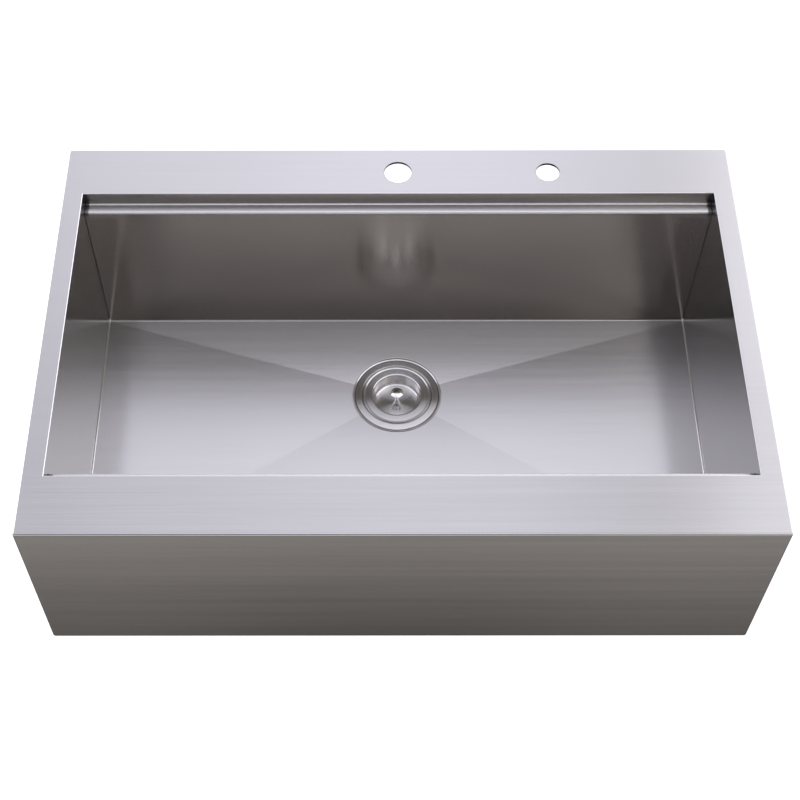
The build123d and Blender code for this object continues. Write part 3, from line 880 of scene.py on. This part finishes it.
def mushroom_knob():
    """Waisted post with a domed cap on the lid's floor, and its stud below.

    The post's radius is waist_r + (foot_r - waist_r) * (1-t)^2.6 at the share t of its height.
    """
    foot_r, waist_r, stud_r, post_height = 0.0060, 0.0021, 0.0020, 0.011
    cup_floor = lid_low + SHEET
    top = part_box("lid_knob")[1].z
    stud_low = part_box("lid_knob")[0].z
    cap_r = size_of("lid_knob").x / 2
    t = np.linspace(0.0, 1.0, 18)
    post = np.stack([waist_r + (foot_r - waist_r) * (1 - t) ** 2.6, cup_floor + post_height * t], axis=1)
    cap = soft_line([
        (waist_r, top - 0.0058, 0.0008),
        (cap_r - 0.0008, top - 0.0036, 0.0006),
        (cap_r, top - 0.0028, 0.0005),
        (cap_r - 0.0002, top - 0.0021, 0.0005),
        (cap_r * 0.55, top - 0.0004, 0.003),
        (0.0, top, 0.0),
    ])[5:-6]
    stud = upright_line(stud_r, stud_low, cup_floor, 30)
    line = np.concatenate([[[0.0, stud_low]], stud, [[foot_r, cup_floor]], post, cap, [[0.0, top]]])
    shape = turned(line, drain, 64, (*STUD_THREAD, stud_low, cup_floor - 0.001))
    made = piece("mushroom_knob", [(shape, False, False)], polished, "lid")
    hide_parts("lid_knob")


strainer_shell()
lid_cover()
mushroom_knob()


# ---------------------------------------------------------------- fasteners, pads and welds

PAD_CORNER = 0.010
PAD_LINE = 0.0005
SEAM_TOP = 0.001
WELD_WIDTH = 0.0042
WELD_HEIGHT = 0.0007
RIPPLE = 0.0030
FLOOR_FILLET = 0.0016
UPRIGHT_FILLET = 0.0009


def screw(name):
    """Screw with a rolled thread and a slotted head.

    The head is a stack of sections across the slot: half width sqrt(R^2 - y^2), rounded towards its rim by
    e - sqrt(e^2 - d^2), and sunk by the slot's depth where |y| is under half its width.
    """
    node = "clip_screw_" + name
    middle = centre_of(node)
    low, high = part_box(node)[0].z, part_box(node)[1].z
    head_r, head_height, edge, slot_share, slot_depth = 0.0044, 0.0035, 0.0011, 0.1364, 0.0016
    shank_r, point_r, point, root = 0.0025, 0.0017, 0.0008, 0.0008
    head_top = low + head_height
    y = np.concatenate([
        np.linspace(-1, -slot_share, 9),
        np.linspace(-slot_share, slot_share, 4),
        np.linspace(slot_share, 1, 9),
    ])
    y = head_r * y[:, None]
    sunk = np.repeat([0.0, slot_depth, 0.0], [9, 4, 9])[:, None]
    across = np.linspace(-1.0, 1.0, 17)[None, :]
    x = across * np.sqrt(np.maximum(head_r**2 - y**2, 0.0))
    reach = np.maximum(np.sqrt(x**2 + y**2) - (head_r - edge), 0.0)
    face = low + edge - np.sqrt(np.maximum(edge**2 - reach**2, 0.0)) + sunk
    x = np.concatenate([x, x[:, ::-1]], axis=1)
    z = np.concatenate([face, head_top + 0 * face], axis=1)
    head = np.stack([x, y + 0 * x, z], axis=2) + np.array([middle.x, middle.y, 0.0])
    line = np.concatenate([
        [[0.0, head_top - root]],
        upright_line(shank_r, head_top - root, high - point, 190),
        [[point_r, high], [0.0, high]],
    ])
    shank = turned(line, middle, 20, (*SCREW_THREAD, head_top, high - 0.0006))
    shells = [(head, False, False), (shank, False, False)]
    made = piece("screw_" + name, shells, zinc, "screw_" + name)
    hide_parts(node)


def sound_pad(name, axis, outward):
    """Rubber pad: rounded rectangle with a soft edge and a sunk line inside its rim."""
    low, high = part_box(name)
    middle, half = (low + high) / 2, (high - low) / 2
    sides = [side for side in (X, Y, Z) if side != axis]
    thick = half[axis] * 2
    levels = [
        (0.0, 0.0), (0.0, thick - 0.0009), (0.0003, thick - 0.0003), (0.0009, thick), (0.006, thick),
        (0.0064, thick - PAD_LINE), (0.0076, thick - PAD_LINE), (0.008, thick), (0.012, thick),
    ]
    flat = moulded(half[sides[0]], half[sides[1]], PAD_CORNER, levels)
    points = np.zeros_like(flat)
    points[..., sides[0]] = middle[sides[0]] + flat[..., 0]
    points[..., sides[1]] = middle[sides[1]] + flat[..., 1]
    points[..., axis] = (low[axis] if outward > 0 else high[axis]) + outward * flat[..., 2]
    made = piece("moulded_" + name, [(points, False, True)], pad_rubber, "sink")
    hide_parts(name)


def seam_path(step, bend, nose, fold):
    """Outline (y, z) of the bowl's end from the front rim to the back rim, moved outwards by step."""
    half = [
        (rim_y + step, SEAM_TOP, 0.0),
        (rim_y + step, ledge_top - step, bend),
        (wall_back + step, ledge_top - step, nose),
        (wall_back + step, seam_z - step, fold),
    ]
    corners = [(-y, z, r) for y, z, r in half] + half[::-1]
    return soft_line(corners, 10)[9:-9]


def seam_weld(side):
    """Bead along the outside of an end wall's seam: a flat oval that swells once in each ripple."""
    line, run = even_line(seam_path(bowl_sheet, 0.003, 0.0015, 0.0035)[::-1], 0.0007)
    ripple = 0.82 + 0.18 * np.abs(np.sin(math.pi * run / RIPPLE))[:, None]
    turn = np.linspace(0.0, FULL_TURN, 12, endpoint=False)[None, :]
    section = np.stack([WELD_WIDTH / 2 * np.cos(turn) * ripple, WELD_HEIGHT * np.sin(turn) * ripple], axis=2)
    name = "right_weld" if side > 0 else "left_weld"
    grid = carried(line, section, side * wall_x, side)
    piece(name, [(grid, False, True)], weld, "sink")


def seam_fillet(side):
    """Ground corner inside an end wall: a hollow quarter-round, wider along the floor than where upright."""
    line, run = even_line(seam_path(0.0, 0.0015, 0.003, 0.002), 0.0015)
    turn = np.linspace(0.0, QUARTER_TURN, 7)
    hollow = np.concatenate([np.stack([1 - np.sin(turn), 1 - np.cos(turn)], axis=1), [[-0.25, -0.25]]])
    near_floor = np.clip((seam_z + 0.012 - line[:, 1]) / 0.010, 0.0, 1.0)
    size = UPRIGHT_FILLET + (FLOOR_FILLET - UPRIGHT_FILLET) * near_floor
    section = hollow[None] * size[:, None, None]
    name = "right_corner" if side > 0 else "left_corner"
    grid = carried(line, section, side * wall_x, -side)
    piece(name, [(grid, False, True)], ground, "sink")


for name in ("right_front", "right_rear", "left_front", "left_rear", "rear_left", "rear_right"):
    screw(name)
sound_pad("back_wall_pad", Y, 1)
sound_pad("front_wall_pad", Y, -1)
sound_pad("right_wall_pad", X, 1)
sound_pad("left_wall_pad", X, -1)
sound_pad("apron_pad", Y, 1)
for side in (-1, 1):
    seam_weld(side)
    seam_fillet(side)


# ---------------------------------------------------------------- stage

PICTURE = 800
FOCAL_PIXELS = 1515.5
OPTICAL_X = 371.0
PITCH = math.radians(56.17)
HEADING = math.radians(0.216)
ROLL = math.radians(-0.236)
AIM = Vector((-0.0339, -0.1056, deck_top))
DISTANCE = 1.7196
FLOOR_HEIGHT = -0.9
FLOOR_REACH = 8.0

# Brightness of the sky by angle in degrees, from the rear horizon over the top to the front horizon
SKY_STOPS = (
    # bright room behind, and the paler ceiling over it
    (0, 1.90), (22, 1.80), (36, 1.12), (46, 1.18), (52, 1.12), (58, 0.86), (64, 0.88),
    # lamp overhead
    (70, 1.50), (78, 1.70), (90, 1.50), (102, 1.30), (108, 1.00), (113, 0.70),
    # dark side in front
    (118, 0.35), (122, 0.20), (126, 0.08), (131, 0.02), (138, 0.02), (146, 0.08),
    # pale room low in front
    (157, 0.60), (168, 1.00), (180, 1.00),
)

# What the sky's brightness is multiplied by, from left to right along the direction's x
GAIN_STOPS = (
    (-0.50, 0.95), (-0.24, 0.84), (-0.215, 0.80), (-0.195, 0.86), (-0.165, 0.90), (-0.12, 0.93), (0.0, 1.03),
    (0.10, 1.00), (0.15, 0.92), (0.185, 0.88), (0.21, 0.95), (0.245, 1.18), (0.30, 1.25),
)
SIDE_BACK = colour(1.9, 1.9, 1.9)
SIDE_FRONT = colour(0.75, 0.75, 0.75)
BACK_TINT = colour(0.99, 0.985, 1.093)
RIGHT_TINT = colour(0.995, 0.99, 1.055)
FRONT_TINT = colour(1.0, 0.955, 0.93)

# A pale upright strip in front, on the right: its strength, its sides by the direction's x, and its ends
# in half turns from the rear horizon
STRIP = 0.50
STRIP_SIDES = (0.132, 0.150, 0.182, 0.196)
STRIP_ENDS = (0.645, 0.690, 0.790, 0.833)

# Where the front tint shows, in half turns, and where the sides and the right tint start
FRONT_ENDS = (0.62, 0.68, 0.80, 0.86)
SIDE_X = (0.40, 0.62)
SIDE_Y = (-0.05, 0.15)
RIGHT_X = (0.13, 0.20)

# Card in front: its near and far edge, half width and height over the floor, its brightness by y, and how
# much dimmer the middle of its near half is
CARD_NEAR = -0.30
CARD_FAR = -2.6
CARD_HALF = 1.6
CARD_LIFT = 0.01
CARD_STOPS = ((-2.6, 0.55), (-1.0, 0.55), (-0.66, 0.20), (-0.45, 0.03))
CARD_DIM = 0.28
DIM_X = (0.50, 0.05)
DIM_Y = (-0.80, -0.55)


def place_camera():
    """Camera that looks down at the deck from in front of the apron."""
    turn = (
        Matrix.Rotation(HEADING, 4, "Z")
        @ Matrix.Rotation(math.pi / 2 - PITCH, 4, "X")
        @ Matrix.Rotation(ROLL, 4, "Z")
    )
    data = bpy.data.cameras.new("camera")
    data.sensor_width = 36.0
    data.lens = FOCAL_PIXELS / PICTURE * data.sensor_width
    data.shift_x = 0.5 - OPTICAL_X / PICTURE
    data.dof.use_dof = False
    data.clip_end = 50.0
    camera = bpy.data.objects.new("camera", data)
    camera.matrix_world = Matrix.Translation(AIM) @ turn @ Matrix.Translation((0, 0, DISTANCE))
    bpy.context.scene.collection.objects.link(camera)
    bpy.context.scene.camera = camera


def flat_sheet(name, x, y, z, material):
    """Level rectangle on the stage between two x and two y values."""
    mesh = bpy.data.meshes.new(name)
    corners = [(x[0], y[0], z), (x[1], y[0], z), (x[1], y[1], z), (x[0], y[1], z)]
    mesh.from_pydata(corners, [], [(0, 1, 2, 3)])
    mesh.materials.append(material)
    sheet = bpy.data.objects.new(name, mesh)
    bpy.context.scene.collection.objects.link(sheet)
    return sheet


def seen_ray(shader):
    """1 for what the camera sees straight, in a mirror or through glass."""
    path = shader.node("LightPath", {}, {}, "Is Camera Ray")
    mirrored = path.output("Is Glossy Ray").math("MAXIMUM", path.output("Is Transmission Ray"))
    return path.math("MAXIMUM", mirrored)


def pale_floor():
    """Pale floor that stays white to the eye and keeps a soft shadow."""
    shader = new_shader("pale_floor")
    grain = shader.noise(shader.place(), scale=3.0, detail=3.0)
    matt = shader.node("BsdfDiffuse", {}, {"Color": shader.shaded((0.6, 0.6, 0.6), 0.98 + grain * 0.04)})
    glow = shader.node("Emission", {}, {"Color": colour(0.66, 0.66, 0.66), "Strength": seen_ray(shader)})
    shader.finish(shader.node("AddShader", {}, {0: matt, 1: glow}))
    return shader.owner


def studio_world():
    """Pale room: bright behind and overhead, a dark side in front, and a brighter right side.

    Its tone follows the angle atan2(z, y) that runs from the rear horizon over the top to the front horizon.
    """
    world = bpy.data.worlds.new("studio")
    bpy.context.scene.world = world
    shader = Shader(world)
    x, y, z = shader.node("TexCoord", {}, {}, "Generated").split()
    angle = z.math("ARCTAN2", y) / math.pi
    stops = [(degrees / 180, colour(tone, tone, tone)) for degrees, tone in SKY_STOPS]
    arch = shader.node("ValToRGB", {"stops": stops}, {"Fac": angle})
    gains = [(across + 0.5, colour(gain, gain, gain)) for across, gain in GAIN_STOPS]
    gain = shader.node("ValToRGB", {"stops": gains}, {"Fac": x + 0.5})
    strip = x.band(*STRIP_SIDES) * angle.band(*STRIP_ENDS) * STRIP
    lit = shader.node("VectorMath", {"operation": "MULTIPLY_ADD"}, {0: arch, 1: gain, 2: strip})
    side = shader.mixed(y.step(*SIDE_Y), SIDE_FRONT, SIDE_BACK)
    tone = shader.mixed(abs(x).step(*SIDE_X), lit, side)
    back = shader.mixed(x.step(*RIGHT_X), BACK_TINT, RIGHT_TINT)
    tint = shader.mixed(angle.band(*FRONT_ENDS), back, FRONT_TINT)
    tinted = shader.node("VectorMath", {"operation": "MULTIPLY"}, {0: tone, 1: tint})
    shader.finish(shader.node("Background", {}, {"Color": tinted, "Strength": 1.0}), "OutputWorld")


def front_card():
    """Card in front of the apron, dark near the sink and paler far off, seen only in the metal."""
    shader = new_shader("dark_card")
    x, y, z = shader.place().split()
    stops = [
        ((place - CARD_FAR) / -CARD_FAR, colour(tone, tone * 0.93, tone * 0.87))
        for place, tone in CARD_STOPS
    ]
    tone = shader.node("ValToRGB", {"stops": stops}, {"Fac": (y - CARD_FAR) * (-1 / CARD_FAR)})
    dim = abs(x).step(*DIM_X) * y.step(*DIM_Y) * CARD_DIM
    shader.finish(shader.node("Emission", {}, {"Color": shader.shaded(tone, 1.0 - dim), "Strength": 1.0}))
    sides, ends = (-CARD_HALF, CARD_HALF), (CARD_FAR, CARD_NEAR)
    card = flat_sheet("front_card", sides, ends, FLOOR_HEIGHT + CARD_LIFT, shader.owner)
    card.visible_camera = False
    card.visible_diffuse = False
    card.visible_shadow = False


place_camera()
flat_sheet("floor", (-FLOOR_REACH, FLOOR_REACH), (-FLOOR_REACH, FLOOR_REACH), FLOOR_HEIGHT, pale_floor())
studio_world()
front_card()
bpy.context.scene.view_settings.view_transform = "Standard"
